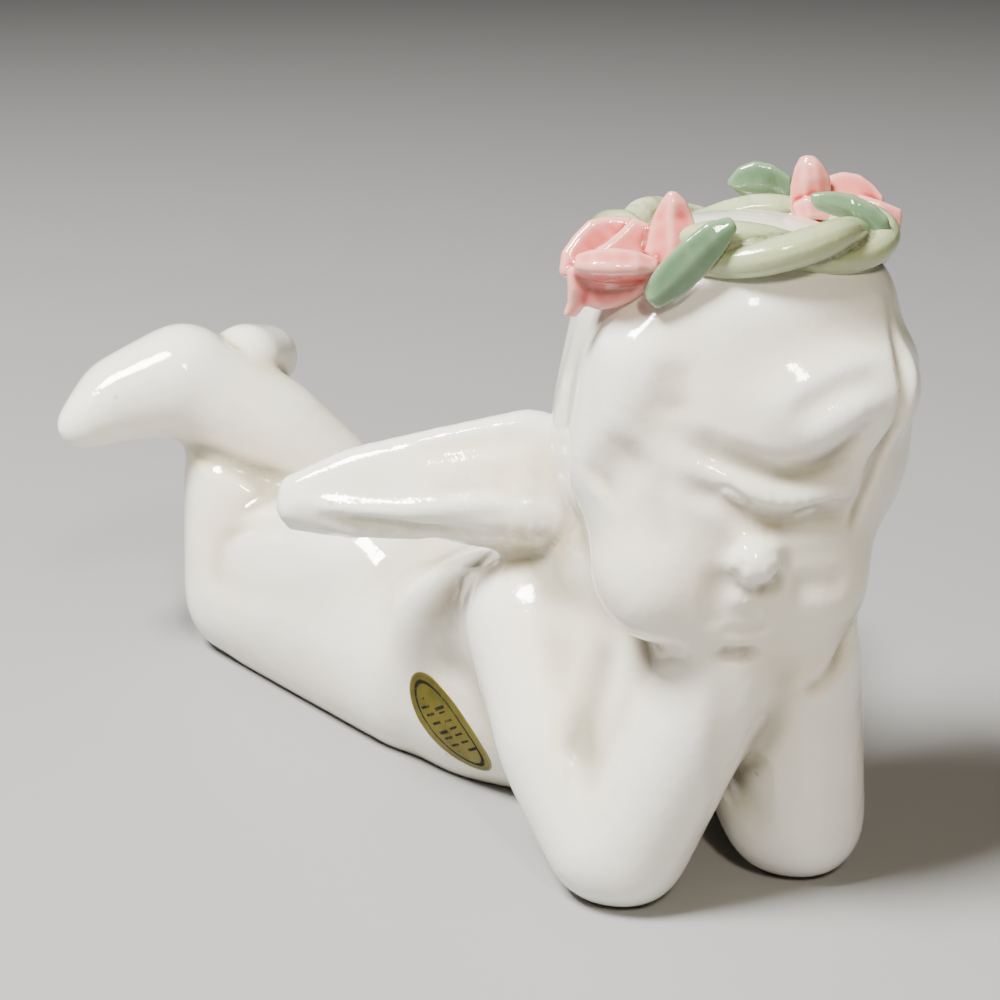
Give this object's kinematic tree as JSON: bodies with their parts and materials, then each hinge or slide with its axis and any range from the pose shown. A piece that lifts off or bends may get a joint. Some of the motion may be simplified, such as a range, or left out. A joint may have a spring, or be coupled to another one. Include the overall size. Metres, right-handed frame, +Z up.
{
  "type": "cherub figurine",
  "caption": "Glazed porcelain cherub lying on its front, chin propped on its hands, feet raised, small wings, flower wreath on its head.",
  "frame": {"origin": "on the table surface, on the flat underside of the belly", "axes": "+Z up, -Y towards the head, +Y towards the feet, -X the figure's right side"},
  "size_m": [0.0707, 0.1287, 0.0844],
  "materials": {
    "white_glaze": "glossy warm white glaze, greyed in the hollows",
    "pale_green_glaze": "glossy pale celery green glaze",
    "leaf_green_glaze": "glossy leaf green glaze, paler where thin",
    "pink_glaze": "glossy soft pink glaze, paler at the edges",
    "gold_foil": "metallic gold foil paper with dark print"
  },
  "bodies": {
    "root": {"figure": "white_glaze", "wreath_band": "pale_green_glaze", "flower_right": "pink_glaze", "flower_left": "pink_glaze", "leaf_front": "leaf_green_glaze", "leaf_back": "leaf_green_glaze", "leaf_left": "leaf_green_glaze", "leaf_small": "leaf_green_glaze", "foil_label": "gold_foil"}
  },
  "joints": []
}
